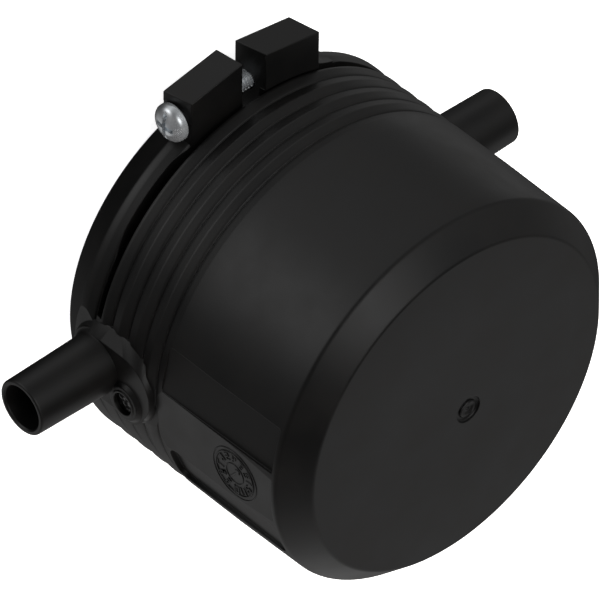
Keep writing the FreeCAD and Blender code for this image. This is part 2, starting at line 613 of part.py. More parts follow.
# Terminal pins, with a chamfered nose
for side, away in (("left", "180 deg"), ("right", "0 deg")):
    pin = newBody("terminal_pin_" + side)
    pinSketch = newSketch(pin, "PinSketch" + side, "XZ_Plane", terminalLine, away)
    addOutline(pinSketch, [
        ("pinRoot", None), ("pinTip", None), ("pinTip", "pinNose"), ("pinShoulder", "pinRadius"),
        ("pinRoot", "pinRadius")])
    turned = pin.newObject("PartDesign::Revolution", "Turned" + side)
    turned.Profile = pinSketch
    turned.ReferenceAxis = (pinSketch, ["H_Axis"])
    turned.Angle = 360

# Fusion indicator pins in their holes
for side, sign in (("left", "-"), ("right", "")):
    indicator = newBody("indicator_pin_" + side)
    eyeLine = (None, None, sign + "Sizes.indicatorFloor")
    eyeSketch = newSketch(indicator, "EyeSketch" + side, "YZ_Plane", eyeLine)
    addCircle(eyeSketch, "-indicatorDrop", "indicatorHeight", "indicatorFit")
    addPad(indicator, "Eye" + side, eyeSketch, "Sizes.indicatorLong", reverse=bool(sign))

# Clamp screw: pan head with a cross recess inside a slot
screw = newBody("clamp_screw")
screwSketch = newSketch(screw, "ScrewSketch", "XZ_Plane", screwLine)
addOutline(screwSketch, [
    ("headTop", None), ("headTop", "headCrown"), ("bulgePlace", "bulgeRadius"),
    ("headSide", "headRadius"), ("screwSeat", "headRadius"), ("screwSeat", "screwRadius"),
    ("screwEnd", "screwRadius"), ("screwEnd", None)])
turned = screw.newObject("PartDesign::Revolution", "ScrewTurned")
turned.Profile = screwSketch
turned.ReferenceAxis = (screwSketch, ["H_Axis"])
turned.Angle = 360
driveLine = ("Sizes.screwHeight", "Sizes.screwAlong", "Sizes.headTop")
for name, wide, tall, depth in (("Slot", "headRadius", "driveHalf", "slotDepth"),
                                ("CrossA", "headCrown", "driveHalf", "driveDepth"),
                                ("CrossB", "driveHalf", "headCrown", "driveDepth")):
    driveSketch = newSketch(screw, "Drive%sSketch" % name, "YZ_Plane", driveLine)
    addOutline(driveSketch, [
        ("-" + wide, "-" + tall), (wide, "-" + tall), (wide, tall), ("-" + wide, tall)])
    addPocket(screw, "Drive" + name, driveSketch, "Sizes." + depth, reverse=True)

# Clamp nut in its pocket
nut = newBody("clamp_nut")
nutSketch = newSketch(nut, "NutSketch", "YZ_Plane", nutLine)
addHexagon(nutSketch, "nutRadius")
addCircle(nutSketch, None, None, "nutHole")
addPad(nut, "Hexagon", nutSketch, "Sizes.nutHeight")

doc.recompute()

os.makedirs("parts", exist_ok=True)
for body in doc.findObjects("PartDesign::Body"):
    for feature in body.Group + [body]:
        if "Invalid" in feature.State or "Error" in feature.State:
            raise RuntimeError("not built: %s %s" % (body.Label, feature.Name))
    if body.Shape.isNull() or not body.Shape.isValid():
        raise RuntimeError("no valid shape: " + body.Label)
    body.Shape.exportStep("parts/%s.step" % body.Label)
    print(body.Label, len(body.Shape.Solids), round(body.Shape.Volume, 1))
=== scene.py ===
import math

import bmesh
import bpy
from mathutils import Matrix, Vector


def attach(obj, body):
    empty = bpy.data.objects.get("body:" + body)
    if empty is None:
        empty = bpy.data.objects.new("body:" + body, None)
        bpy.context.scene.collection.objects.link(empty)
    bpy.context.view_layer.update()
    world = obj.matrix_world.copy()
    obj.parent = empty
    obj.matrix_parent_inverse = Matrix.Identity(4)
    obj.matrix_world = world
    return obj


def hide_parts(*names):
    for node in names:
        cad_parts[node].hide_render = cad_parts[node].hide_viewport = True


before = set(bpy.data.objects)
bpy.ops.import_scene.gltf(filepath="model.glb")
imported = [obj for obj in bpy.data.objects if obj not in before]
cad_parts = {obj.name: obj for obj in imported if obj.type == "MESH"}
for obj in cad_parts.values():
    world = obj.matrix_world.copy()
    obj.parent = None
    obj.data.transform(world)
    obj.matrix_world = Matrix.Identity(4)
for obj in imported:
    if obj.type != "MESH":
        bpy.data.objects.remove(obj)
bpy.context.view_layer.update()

mm = 0.001


# Colours are picked as sRGB hex and turned linear here
def hexColour(code):
    parts = [int(code[i:i + 2], 16) / 255 for i in (1, 3, 5)]
    return [c / 12.92 if c <= 0.04045 else ((c + 0.055) / 1.055) ** 2.4 for c in parts] + [1.0]


def addNode(tree, kind, settings=None, links=None):
    node = tree.nodes.new(kind)
    for key, value in (settings or {}).items():
        if isinstance(key, int) or key in node.inputs:
            node.inputs[key].default_value = value
        else:
            setattr(node, key, value)
    for key, source in (links or {}).items():
        tree.links.new(source, node.inputs[key])
    return node


def newMaterial(name):
    material = bpy.data.materials.new(name)
    material.use_nodes = True
    tree = material.node_tree
    tree.nodes.clear()
    output = addNode(tree, "ShaderNodeOutputMaterial")
    return material, tree, output


# Black PE100, injection moulded in a fine spark-eroded tool: a dull, even black with a
# tight grain that catches a soft, wide highlight, and a few faint rubbed places
def makeMouldedPolyethylene():
    look = {"black": "#080808", "worn": "#0e0d0c", "rough": (0.36, 0.44),
            "grainSize": 0.35, "flowSize": 9.0, "grainHeight": 0.03, "edgeRadius": 0.22}
    material, tree, output = newMaterial("polyethyleneMouldedGrain")
    place = addNode(tree, "ShaderNodeTexCoord")
    flow = addNode(tree, "ShaderNodeTexNoise",
                   {"Scale": 1 / (look["flowSize"] * mm), "Detail": 3.0, "Roughness": 0.55},
                   {"Vector": place.outputs["Object"]})
    grain = addNode(tree, "ShaderNodeTexNoise",
                    {"Scale": 1 / (look["grainSize"] * mm), "Detail": 2.0, "Roughness": 0.6},
                    {"Vector": place.outputs["Object"]})
    tint = addNode(tree, "ShaderNodeMapRange", {"From Min": 0.35, "From Max": 0.75},
                   {"Value": flow.outputs["Fac"]})
    colour = addNode(tree, "ShaderNodeMix", {"data_type": "RGBA"}, {"Factor": tint.outputs["Result"]})
    colour.inputs["A"].default_value = hexColour(look["black"])
    colour.inputs["B"].default_value = hexColour(look["worn"])
    rough = addNode(tree, "ShaderNodeMapRange",
                    {"From Min": 0.3, "From Max": 0.7, "To Min": look["rough"][0], "To Max": look["rough"][1]},
                    {"Value": flow.outputs["Fac"]})
    soft = addNode(tree, "ShaderNodeBevel", {"samples": 6, "Radius": look["edgeRadius"] * mm})
    bump = addNode(tree, "ShaderNodeBump", {"Strength": 0.35, "Distance": look["grainHeight"] * mm},
                   {"Height": grain.outputs["Fac"], "Normal": soft.outputs["Normal"]})
    shader = addNode(tree, "ShaderNodeBsdfPrincipled", {"IOR": 1.5},
                     {"Base Color": colour.outputs["Result"], "Roughness": rough.outputs["Result"],
                      "Normal": bump.outputs["Normal"]})
    tree.links.new(shader.outputs["BSDF"], output.inputs["Surface"])
    return material


# Black polyethylene plug in its hole: dark, with a few small gleams
def makeIndicatorPlastic():
    look = {"black": "#040404", "rough": (0.08, 0.16), "size": 1.1, "pits": 0.25,
            "gleam": (0.02, 0.8), "gleamSpan": (0.56, 0.64)}
    material, tree, output = newMaterial("polyethyleneSmoothPlug")
    place = addNode(tree, "ShaderNodeTexCoord")
    cloud = addNode(tree, "ShaderNodeTexNoise", {"Scale": 1 / (look["size"] * mm), "Detail": 2.0},
                    {"Vector": place.outputs["Object"]})
    rough = addNode(tree, "ShaderNodeMapRange",
                    {"From Min": 0.3, "From Max": 0.7, "To Min": look["rough"][0], "To Max": look["rough"][1]},
                    {"Value": cloud.outputs["Fac"]})
    bump = addNode(tree, "ShaderNodeBump", {"Strength": 0.8, "Distance": look["pits"] * mm},
                   {"Height": cloud.outputs["Fac"]})
    gleam = addNode(tree, "ShaderNodeMapRange",
                    {"From Min": look["gleamSpan"][0], "From Max": look["gleamSpan"][1],
                     "To Min": look["gleam"][0], "To Max": look["gleam"][1]},
                    {"Value": cloud.outputs["Fac"]})
    shader = addNode(tree, "ShaderNodeBsdfPrincipled", {"IOR": 1.5},
                     {"Specular IOR Level": gleam.outputs["Result"], "Roughness": rough.outputs["Result"],
                      "Normal": bump.outputs["Normal"]})
    shader.inputs["Base Color"].default_value = hexColour(look["black"])
    tree.links.new(shader.outputs["BSDF"], output.inputs["Surface"])
    return material


# Steel with a clear zinc plating: bright and cool, frosted a little by the plating
def makeZincPlatedSteel():
    look = {"bright": "#f2f5f7", "dull": "#b4babf", "rough": (0.08, 0.2), "size": 1.4, "frost": 0.2}
    material, tree, output = newMaterial("steelZincPlated")
    place = addNode(tree, "ShaderNodeTexCoord")
    cloud = addNode(tree, "ShaderNodeTexNoise", {"Scale": 1 / (look["size"] * mm), "Detail": 4.0},
                    {"Vector": place.outputs["Object"]})
    colour = addNode(tree, "ShaderNodeMix", {"data_type": "RGBA"}, {"Factor": cloud.outputs["Fac"]})
    colour.inputs["A"].default_value = hexColour(look["bright"])
    colour.inputs["B"].default_value = hexColour(look["dull"])
    rough = addNode(tree, "ShaderNodeMapRange",
                    {"From Min": 0.3, "From Max": 0.7, "To Min": look["rough"][0], "To Max": look["rough"][1]},
                    {"Value": cloud.outputs["Fac"]})
    bump = addNode(tree, "ShaderNodeBump", {"Strength": 0.2, "Distance": 0.02 * mm},
                   {"Height": cloud.outputs["Fac"]})
    shader = addNode(tree, "ShaderNodeBsdfPrincipled", {"Metallic": 1 - look["frost"]},
                     {"Base Color": colour.outputs["Result"], "Roughness": rough.outputs["Result"],
                      "Normal": bump.outputs["Normal"]})
    tree.links.new(shader.outputs["BSDF"], output.inputs["Surface"])
    return material


# Turned brass with a tin plating: pale warm grey, with the rings that the tool left
def makeTinnedBrass():
    # at scale 1 a wave texture repeats every 0.314
    look = {"tin": "#cfccc2", "brass": "#b9a878", "rough": (0.22, 0.36), "ring": 0.18, "wave": 0.314, "cloud": 2.0}
    material, tree, output = newMaterial("brassTinPlated")
    place = addNode(tree, "ShaderNodeTexCoord")
    rings = addNode(tree, "ShaderNodeTexWave",
                    {"wave_type": "BANDS", "bands_direction": "X", "Scale": look["wave"] / (look["ring"] * mm),
                     "Distortion": 0.6}, {"Vector": place.outputs["Object"]})
    cloud = addNode(tree, "ShaderNodeTexNoise", {"Scale": 1 / (look["cloud"] * mm), "Detail": 3.0},
                    {"Vector": place.outputs["Object"]})
    tint = addNode(tree, "ShaderNodeMapRange", {"From Min": 0.45, "From Max": 0.8},
                   {"Value": cloud.outputs["Fac"]})
    colour = addNode(tree, "ShaderNodeMix", {"data_type": "RGBA"}, {"Factor": tint.outputs["Result"]})
    colour.inputs["A"].default_value = hexColour(look["tin"])
    colour.inputs["B"].default_value = hexColour(look["brass"])
    rough = addNode(tree, "ShaderNodeMapRange",
                    {"To Min": look["rough"][0], "To Max": look["rough"][1]},
                    {"Value": cloud.outputs["Fac"]})
    bump = addNode(tree, "ShaderNodeBump", {"Strength": 0.25, "Distance": 0.01 * mm},
                   {"Height": rings.outputs["Fac"]})
    shader = addNode(tree, "ShaderNodeBsdfPrincipled", {"Metallic": 1.0},
                     {"Base Color": colour.outputs["Result"], "Roughness": rough.outputs["Result"],
                      "Normal": bump.outputs["Normal"]})
    tree.links.new(shader.outputs["BSDF"], output.inputs["Surface"])
    return material


# Drawn copper wire: warm and bright, with faint darker stretches where it has tarnished
def makeCopperWire():
    look = {"clean": "#c98a62", "dark": "#8f5a3c", "rough": (0.25, 0.42), "size": 6.0}
    material, tree, output = newMaterial("copperDrawnWire")
    place = addNode(tree, "ShaderNodeTexCoord")
    cloud = addNode(tree, "ShaderNodeTexNoise", {"Scale": 1 / (look["size"] * mm), "Detail": 4.0},
                    {"Vector": place.outputs["Object"]})
    tint = addNode(tree, "ShaderNodeMapRange", {"From Min": 0.4, "From Max": 0.8},
                   {"Value": cloud.outputs["Fac"]})
    colour = addNode(tree, "ShaderNodeMix", {"data_type": "RGBA"}, {"Factor": tint.outputs["Result"]})
    colour.inputs["A"].default_value = hexColour(look["clean"])
    colour.inputs["B"].default_value = hexColour(look["dark"])
    rough = addNode(tree, "ShaderNodeMapRange",
                    {"To Min": look["rough"][0], "To Max": look["rough"][1]},
                    {"Value": cloud.outputs["Fac"]})
    shader = addNode(tree, "ShaderNodeBsdfPrincipled", {"Metallic": 1.0},
                     {"Base Color": colour.outputs["Result"], "Roughness": rough.outputs["Result"]})
    tree.links.new(shader.outputs["BSDF"], output.inputs["Surface"])
    return material


# Matt white paper sweep; the camera sees it lift to white, and the shadow stays
def makePaperFloor():
    look = {"white": "#f7f7f6", "shade": "#f2f2f1", "fibre": 6, "lift": 0.9}
    material, tree, output = newMaterial("paperWhiteSweep")
    place = addNode(tree, "ShaderNodeTexCoord")
    fibre = addNode(tree, "ShaderNodeTexNoise", {"Scale": 1 / (look["fibre"] * mm), "Detail": 3.0},
                    {"Vector": place.outputs["Object"]})
    tint = addNode(tree, "ShaderNodeMix", {"data_type": "RGBA"}, {"Factor": fibre.outputs["Fac"]})
    tint.inputs["A"].default_value = hexColour(look["white"])
    tint.inputs["B"].default_value = hexColour(look["shade"])
    paper = addNode(tree, "ShaderNodeBsdfDiffuse", None, {"Color": tint.outputs["Result"]})
    lift = addNode(tree, "ShaderNodeEmission", {"Strength": look["lift"]})
    both = addNode(tree, "ShaderNodeAddShader", None, {0: paper.outputs["BSDF"], 1: lift.outputs["Emission"]})
    path = addNode(tree, "ShaderNodeLightPath")
    seen = addNode(tree, "ShaderNodeMath", {"operation": "MAXIMUM"},
                   {0: path.outputs["Is Camera Ray"], 1: path.outputs["Is Glossy Ray"]})
    mix = addNode(tree, "ShaderNodeMixShader", None,
                  {0: seen.outputs["Value"], 1: paper.outputs["BSDF"], 2: both.outputs["Shader"]})
    tree.links.new(mix.outputs["Shader"], output.inputs["Surface"])
    return material


polyethylene = makeMouldedPolyethylene()
indicatorPlastic = makeIndicatorPlastic()
zincSteel = makeZincPlatedSteel()
tinnedBrass = makeTinnedBrass()
copperWire = makeCopperWire()
print("materials made")


# Outline in mm from (a, b, radius) corners; a radius above 0 rounds that corner
def roundedCorners(corners, closed=False):
    points = []
    count = len(corners)
    for i, (a, b, radius) in enumerate(corners):
        here = Vector((a, b))
        if radius <= 0 or (not closed and i in (0, count - 1)):
            points.append(here)
            continue
        back = Vector(corners[i - 1][:2]) - here
        ahead = Vector(corners[(i + 1) % count][:2]) - here
        back.normalize()
        ahead.normalize()
        half = back.angle(ahead) / 2
        reach = radius / math.tan(half)
        centre = here + (back + ahead).normalized() * radius / math.sin(half)
        start = here + back * reach - centre
        sweep = math.pi - 2 * half
        sense = 1 if back.x * ahead.y - back.y * ahead.x < 0 else -1
        steps = max(2, math.ceil(math.degrees(sweep) / 12))
        for k in range(steps + 1):
            turn = sense * sweep * k / steps
            points.append(centre + Vector((start.x * math.cos(turn) - start.y * math.sin(turn),
                                           start.x * math.sin(turn) + start.y * math.cos(turn))))
    return points


# Turns an outline of (radius, along) about an axis through centre
def spinOutline(bm, points, axis, centre=(0, 0, 0), steps=96, angle=math.tau, start=None, closed=True):
    along = Vector(axis)
    out = Vector(start) if start else Vector((1, 0, 0)) if abs(along.x) < 0.5 else Vector((0, 0, 1))
    middle = Vector(centre)
    verts = [bm.verts.new((middle + out * p[0] + along * p[1]) * mm) for p in points]
    edges = [bm.edges.new(pair) for pair in zip(verts, verts[1:])]
    if closed:
        edges.append(bm.edges.new((verts[-1], verts[0])))
    full = abs(angle - math.tau) < 1e-6
    made = bmesh.ops.spin(bm, geom=verts + edges, cent=middle * mm, axis=along, angle=angle,
                          steps=steps, use_merge=full)
    if not full and closed:
        bmesh.ops.contextual_create(bm, geom=edges)
        bmesh.ops.contextual_create(bm, geom=[e for e in made["geom_last"] if isinstance(e, bmesh.types.BMEdge)])
    bmesh.ops.remove_doubles(bm, verts=bm.verts[:], dist=1e-6)
    bmesh.ops.recalc_face_normals(bm, faces=bm.faces[:])


# Prism over an outline of (u, v) points in mm, pushed along w
def pushOutline(bm, points, place, depth):
    verts = [bm.verts.new(place @ Vector((p[0] * mm, p[1] * mm, 0))) for p in points]
    face = bm.faces.new(verts)
    made = bmesh.ops.extrude_face_region(bm, geom=[face])
    top = [v for v in made["geom"] if isinstance(v, bmesh.types.BMVert)]
    push = place.to_3x3() @ Vector((0, 0, depth * mm))
    bmesh.ops.translate(bm, verts=top, vec=push)
    bmesh.ops.recalc_face_normals(bm, faces=bm.faces[:])


# Skin over closed rings of as many points, one above the other, with both ends capped
def skinRings(bm, rings):
    loops = [[bm.verts.new(p) for p in ring] for ring in rings]
    for low, high in zip(loops, loops[1:]):
        for k in range(len(low)):
            bm.faces.new((low[k - 1], low[k], high[k], high[k - 1]))
    bm.faces.new(loops[0])
    bm.faces.new(loops[-1])
    bmesh.ops.recalc_face_normals(bm, faces=bm.faces[:])


def objectFrom(bm, name):
    mesh = bpy.data.meshes.new(name)
    bm.to_mesh(mesh)
    bm.free()
    thing = bpy.data.objects.new(name, mesh)
    bpy.context.scene.collection.objects.link(thing)
    return thing


# Piece or helper turned about an axis through centre
def turnedObject(name, points, axis, centre=(0, 0, 0), steps=96, closed=False):
    bm = bmesh.new()
    spinOutline(bm, points, axis, centre, steps=steps, closed=closed)
    return objectFrom(bm, name)


def pushedObject(name, points, place, depth):
    bm = bmesh.new()
    pushOutline(bm, points, place, depth)
    return objectFrom(bm, name)


# Puts the mesh of an extra bmesh into bm and frees the extra one
def appendMesh(bm, extra):
    mesh = bpy.data.meshes.new("extra")
    extra.to_mesh(mesh)
    extra.free()
    bm.from_mesh(mesh)
    bpy.data.meshes.remove(mesh)


# Boolean of a list of helpers with a target, applied at once;
# crossing says that a helper's own faces run through each other
def combine(target, helpers, operation, crossing=False):
    for helper in helpers:
        step = target.modifiers.new("step", "BOOLEAN")
        step.operation = operation
        step.solver = "EXACT"
        step.use_self = crossing
        step.object = helper
        graph = bpy.context.evaluated_depsgraph_get()
        mesh = bpy.data.meshes.new_from_object(target.evaluated_get(graph))
        target.modifiers.remove(step)
        old = target.data
        target.data = mesh
        bpy.data.meshes.remove(old)
        spare = helper.data
        bpy.data.objects.remove(helper)
        bpy.data.meshes.remove(spare)


# Smooth shading; edges past the angle in degrees and the rims of faces past flatArea in
# square mm stay sharp, unless they turn less than a slight bend
def shadeByForm(thing, angle, flatArea=None):
    slightBend = math.radians(1.2)
    mesh = thing.data
    bm = bmesh.new()
    bm.from_mesh(mesh)
    bmesh.ops.remove_doubles(bm, verts=bm.verts[:], dist=2e-6)
    bmesh.ops.dissolve_degenerate(bm, edges=bm.edges[:], dist=1e-6)
    for face in bm.faces:
        face.smooth = True
    limit = math.radians(angle)
    for edge in bm.edges:
        if len(edge.link_faces) != 2:
            continue
        turn = edge.calc_face_angle(0.0)
        sharp = turn > limit
        if flatArea and turn > slightBend:
            sharp = sharp or max(f.calc_area() for f in edge.link_faces) > flatArea * mm * mm
        edge.smooth = not sharp
    bm.to_mesh(mesh)
    bm.free()


def dress(thing, material, slot, *nodes):
    thing.data.materials.clear()
    thing.data.materials.append(material)
    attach(thing, "root")
    if nodes:
        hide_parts(*nodes)


# Shell, ridges and bore of the cap, turned about its axis. The wall has a slight draft
# toward the closed end; roof gives the shares of a ridge's slope at which it has a row
shell = {"radius": 42.5, "draftFrom": 45, "draft": 0.0174, "length": 67.5,
         "face": 37.1, "faceRing": 18, "faceRound": 1.1, "endSlope": 5.2, "shoulderRound": 1.6,
         "rows": (58, 54, 49.4, 44.8, 40.2, 35.6),
         "firstGroove": 10.72, "pitch": 4.53, "grooves": 5, "groove": 0.72, "grooveHalf": 0.07,
         "lip": 0.42, "lipHalf": 0.25, "lipStep": 0.04, "roof": (0.12, 0.3, 0.5, 0.7, 0.88),
         "mouth": 38.2, "mouthSlope": 6.9, "mouthRound": 1.5, "rimRound": 0.45,
         "bore": 31.8, "boreEnd": 58.5, "boreRound": 1.2, "lead": 0.4, "leadRounds": (0.1, 0.2),
         "recess": 32.73, "recessFrom": 16.8, "recessTo": 42.65, "leastStep": 0.02, "around": 240}


def wallRadius(z):
    return shell["radius"] - max(0, z - shell["draftFrom"]) * shell["draft"]


def makeShell():
    s = shell
    radius, bore, recess = s["radius"], s["bore"], s["recess"]
    shoulder = s["length"] - s["endSlope"]
    first = s["rows"][0]
    points = roundedCorners([
        (0, s["length"], 0), (s["faceRing"], s["length"], 0), (s["face"], s["length"], s["faceRound"]),
        (wallRadius(shoulder), shoulder, s["shoulderRound"]), (wallRadius(first), first, 0)])
    points += [Vector((wallRadius(z), z)) for z in s["rows"][1:]]
    # each ridge falls a little from its crest to both lips
    for g in reversed(range(s["grooves"])):
        middle = s["firstGroove"] + s["pitch"] * g
        slope = s["pitch"] / 2 - s["lipHalf"]
        for t in (1.0,) + tuple(reversed(s["roof"])):
            points.append(Vector((radius - s["lip"] * (1 - t), middle + s["lipHalf"] + slope * t)))
        points += [Vector((radius - s["lip"] - s["lipStep"], middle + s["lipHalf"])),
                   Vector((radius - s["groove"], middle + s["grooveHalf"])),
                   Vector((radius - s["groove"], middle - s["grooveHalf"])),
                   Vector((radius - s["lip"] - s["lipStep"], middle - s["lipHalf"]))]
        for t in s["roof"]:
            points.append(Vector((radius - s["lip"] * (1 - t), middle - s["lipHalf"] - slope * t)))
    points += roundedCorners([
        (radius, s["firstGroove"] - s["pitch"] / 2, 0), (radius, s["mouthSlope"], s["mouthRound"]),
        (s["mouth"], 0, s["rimRound"]), (bore + s["lead"], 0, s["leadRounds"][0]),
        (bore, s["lead"], s["leadRounds"][1]), (bore, s["recessFrom"], 0), (recess, s["recessFrom"], 0),
        (recess, s["recessTo"], 0), (bore, s["recessTo"], 0), (bore, s["boreEnd"], s["boreRound"]),
        (0, s["boreEnd"], 0)])
    spaced = [points[0]]
    for p in points[1:]:
        if (p - spaced[-1]).length > s["leastStep"]:
            spaced.append(p)
    return turnedObject("cap_moulding", spaced, (0, 0, 1), steps=s["around"])


# Clamp lugs, each a block with eased edges whose top falls toward its far side and whose
# sides lean in X from start to end
lugs = {"A": {"edge": -4.8, "far": -18.4, "start": 4.4, "end": 11.0, "top": 51.2, "fall": 2.5, "lean": 0.8},
        "B": {"edge": -0.9, "far": 13.0, "start": 5.3, "end": 12.4, "top": 51.7, "fall": 2.2, "lean": 1.6},
        "farLean": 1.4, "foot": 34.0, "ease": 0.2}


def makeLug(letter):
    lug = lugs[letter]
    bm = bmesh.new()
    bmesh.ops.create_cube(bm, size=2)
    for vert in bm.verts:
        inner, high, late = vert.co.x > 0, vert.co.y > 0, vert.co.z > 0
        x = lug["edge"] if inner == (letter == "A") else lug["far"]
        y = lug["top"] if high else lugs["foot"]
        if high and abs(x - lug["far"]) < 1e-6:
            y -= lug["fall"]
        lean = 0 if not late else lug["lean"] if inner == (letter == "A") else lugs["farLean"]
        vert.co = Vector((x + lean, y, lug["end"] if late else lug["start"])) * mm
    bmesh.ops.recalc_face_normals(bm, faces=bm.faces[:])
    bmesh.ops.bevel(bm, geom=bm.edges[:], offset=lugs["ease"] * mm, segments=3, profile=0.5,
                    affect="EDGES", material=-1, clamp_overlap=True)
    return objectFrom(bm, "lug" + letter)


# The band swells toward the second lug's foot, over a few degrees from X
swell = {"turn": 75, "sweep": 13, "steps": 10, "inner": 41.5, "sunk": 0.1, "rise": 1.0, "hollow": 1.6,
         "from": 6.6, "height": 4.4}


def makeSwell():
    w = swell
    turns = [math.radians(w["turn"] - w["sweep"] * k / w["steps"]) for k in range(w["steps"] + 1)]
    outline = [Vector((w["inner"] * math.cos(a), w["inner"] * math.sin(a))) for a in turns]
    for k, a in enumerate(turns):
        reach = shell["radius"] - w["sunk"] + w["rise"] * (1 - k / w["steps"]) ** w["hollow"]
        outline.insert(0, Vector((reach * math.cos(a), reach * math.sin(a))))
    return pushedObject("swell", outline, Matrix.Translation((0, 0, w["from"] * mm)), w["height"])


# Clamp slot round the band. Swinging from +Y, in degrees, it widens between the first two
# values of ramp and narrows again between the last two
slot = {"from": 11.0, "to": 12.5, "wide": 10.15, "reach": 77, "steps": 88,
        "inner": 29.8, "outer": 42.65, "ramp": (23.5, 30.5, 52, 61)}


def makeSlotCutter():
    bm = bmesh.new()
    start = math.radians(90 - slot["reach"])
    outline = [Vector((slot["inner"], slot["from"])), Vector((slot["outer"], slot["from"])),
               Vector((slot["outer"], slot["to"])), Vector((slot["inner"], slot["to"]))]
    spinOutline(bm, outline, (0, 0, 1), steps=slot["steps"], angle=math.radians(2 * slot["reach"]),
                start=(math.cos(start), math.sin(start), 0))
    near, wide, far, narrow = slot["ramp"]
    for vert in bm.verts:
        if vert.co.z > (slot["from"] + 0.1) * mm:
            continue
        swing = abs(math.degrees(math.atan2(vert.co.x, vert.co.y)))
        rise = min(1, max(0, (swing - near) / (wide - near)))
        share = rise * min(1, max(0, (narrow - swing) / (narrow - far)))
        vert.co.z = (slot["from"] + (slot["wide"] - slot["from"]) * share) * mm
    return objectFrom(bm, "slotCutter")


# The split between the lugs follows their lean
split = {"low": -2.0, "high": 11.75, "from": 20, "depth": 40}


def makeSplitCutter():
    low, high = split["low"], split["high"]
    lean = {k: lugs[k]["lean"] / (lugs[k]["end"] - lugs[k]["start"]) for k in "AB"}
    corners = [(lugs[k]["edge"] + lean[k] * (z - lugs[k]["start"]), z)
               for k, z in (("A", low), ("B", low), ("B", high), ("A", high))]
    place = Matrix(((1, 0, 0, 0), (0, 0, 1, split["from"] * mm), (0, 1, 0, 0), (0, 0, 0, 1)))
    return pushedObject("splitCutter", [Vector(c) for c in corners], place, split["depth"])


# Marks of each terminal side: plane cuts in the wall at a distance from the axis. The label
# field nearer the clamp screw leans: deeper beside the facet and near the closed end
marks = {"flat": 41.4, "flatHalf": 14.0, "flatFrom": -2, "flatArc": 7.2, "flatShoulder": 25.9, "arcSteps": 24,
         "facet": 41.82, "facetTurn": 4.0, "facetHalf": 7.6, "facetFrom": 21.9, "facetTo": 61.3, "facetRound": 0.8,
         "label": 41.3, "labelSwing": 16.8, "labelHalf": 5.2, "labelFrom": 31.5, "labelRound": 2.4,
         "leaned": 41.7, "leanedTilt": 1.0, "leanedFrom": 30.6, "leanedRound": 0.7, "leanedRise": 1.34,
         "cut": 4}
# Terminal: pad with a sloped skirt, shroud with its bore and pin hole, and the collar of the
# indicator hole; padTop and padBase hold two circles (y, z, radius) each
terminal = {"height": 13.1, "foot": 39.0, "pad": 43.3, "padFoot": 41.25,
            "padTop": ((-0.8, 14.4, 7.3), (-0.8, 21.0, 7.3)),
            "padBase": ((-0.9, 15.2, 10.2), (-0.9, 18.4, 10.2)),
            "padEdge": ((0.93, 0.965), (0.975, 0.99), (1.03, 1.0)),
            "tip": 62.1, "tipRadius": 5.95, "tipRound": 0.45, "rootRadius": 6.3, "fillet": 1.0, "flare": 42.4,
            "bore": 4.75, "floor": 46.5, "floorRound": 0.4, "mouthEase": 0.35, "pin": 2.03, "pinRoot": 35.0,
            "eyeY": -4.0, "eyeZ": 21.9, "eye": 2.4, "eyeFloor": 40.5, "eyeEase": 0.15,
            "collar": 3.7, "collarFoot": 4.5, "collarTop": 44.15, "lipHeight": 0.2, "lipOut": 0.45}


# Place of a side's plane: u along +Y, v along Z and w outwards, all turned about the cap's axis
def sidePlace(sign, plane, turn=0.0):
    out = Matrix.Rotation(math.radians(-sign * turn), 4, "Z")
    base = Matrix(((0, 0, sign, sign * plane * mm), (1, 0, 0, 0), (0, 1, 0, 0), (0, 0, 0, 1)))
    return out @ base


def makeFlatCutters(sign):
    m = marks
    rise = m["flatShoulder"] - terminal["eyeZ"]
    lean = math.asin(rise / m["flatArc"])
    outline = []
    for k in range(m["arcSteps"] + 1):
        turn = lean + (math.pi - 2 * lean) * k / m["arcSteps"]
        outline.append(Vector((terminal["eyeY"] + m["flatArc"] * math.cos(turn),
                               terminal["eyeZ"] + m["flatArc"] * math.sin(turn))))
    outline += [Vector((-m["flatHalf"], m["flatShoulder"])), Vector((-m["flatHalf"], m["flatFrom"])),
                Vector((m["flatHalf"], m["flatFrom"])), Vector((m["flatHalf"], m["flatShoulder"]))]
    made = [pushedObject("flatCutter", outline, sidePlace(sign, m["flat"]), m["cut"])]
    # plane, turn, half width, start, roundings at start and end, tilt
    fields = ((m["facet"], m["facetTurn"], m["facetHalf"], m["facetFrom"], (0, m["facetRound"]), 0),
              (m["leaned"], m["facetTurn"] - m["labelSwing"], m["labelHalf"], m["leanedFrom"],
               (m["leanedRound"], m["leanedRound"]), m["leanedTilt"]),
              (m["label"], m["facetTurn"] + m["labelSwing"], m["labelHalf"], m["labelFrom"],
               (m["labelRound"], m["labelRound"]), 0))
    for plane, turn, half, start, ease, tilt in fields:
        corners = [(-half, start, ease[0]), (half, start, ease[0]), (half, m["facetTo"], ease[1]),
                   (-half, m["facetTo"], ease[1])]
        place = sidePlace(sign, plane, turn)
        if tilt:
            middle = Vector((0, (start + m["facetTo"]) / 2 * mm, 0))
            place = place @ Matrix.Rotation(math.radians(-tilt), 4, "Y") @ Matrix.Translation(middle) \
                @ Matrix.Rotation(math.radians(-m["leanedRise"]), 4, "X") @ Matrix.Translation(-middle)
        made.append(pushedObject("fieldCutter", roundedCorners(corners, closed=True), place, m["cut"]))
    return made


